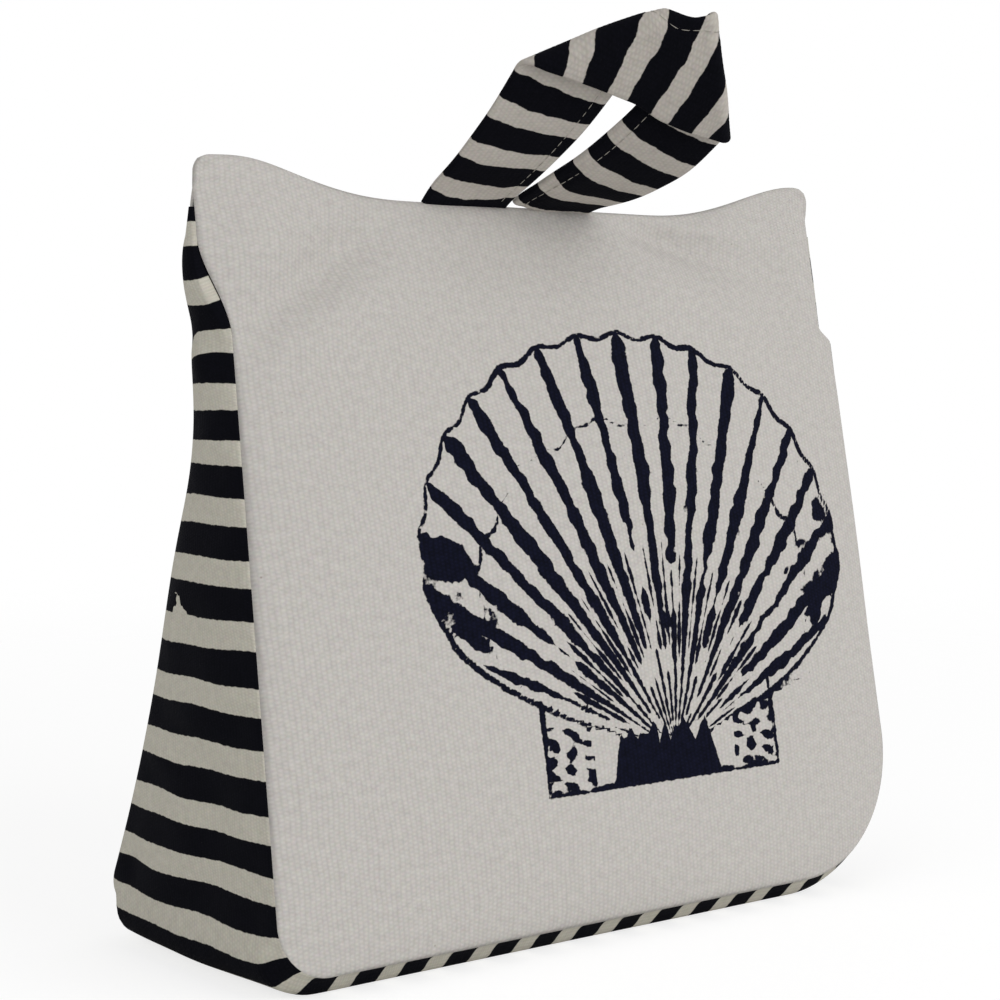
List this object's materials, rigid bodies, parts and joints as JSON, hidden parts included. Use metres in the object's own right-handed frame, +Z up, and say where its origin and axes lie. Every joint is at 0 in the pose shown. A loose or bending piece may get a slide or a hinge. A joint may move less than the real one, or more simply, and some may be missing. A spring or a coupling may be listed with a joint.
{
  "type": "door stop",
  "caption": "Weighted fabric door stop: a canvas bag with a navy striped gusset, a folded striped carrying strap and a printed scallop.",
  "frame": {"origin": "on the floor under the middle of the bag, at the middle of its base", "axes": "+X to the bag's right along its width, +Y from the printed front panel to the back, +Z up"},
  "size_m": [0.2711, 0.1361, 0.2921],
  "materials": {
    "panel_canvas": "plain-weave cotton canvas, warm light grey, matt",
    "striped_canvas": "cream cotton canvas printed with navy stripes across, matt",
    "navy_ink": "navy pigment print on canvas, matt",
    "pouch_cloth": "tightly woven cotton pouch filled with dry sand",
    "polyester_fibre": "loose white polyester fibre"
  },
  "bodies": {
    "root": {"front_panel": "panel_canvas", "back_panel": "panel_canvas", "gusset_strip": "striped_canvas", "handle_strap": "striped_canvas", "scallop_print": "navy_ink", "sand_bag": "pouch_cloth", "fibre_filling": "polyester_fibre"}
  },
  "joints": []
}
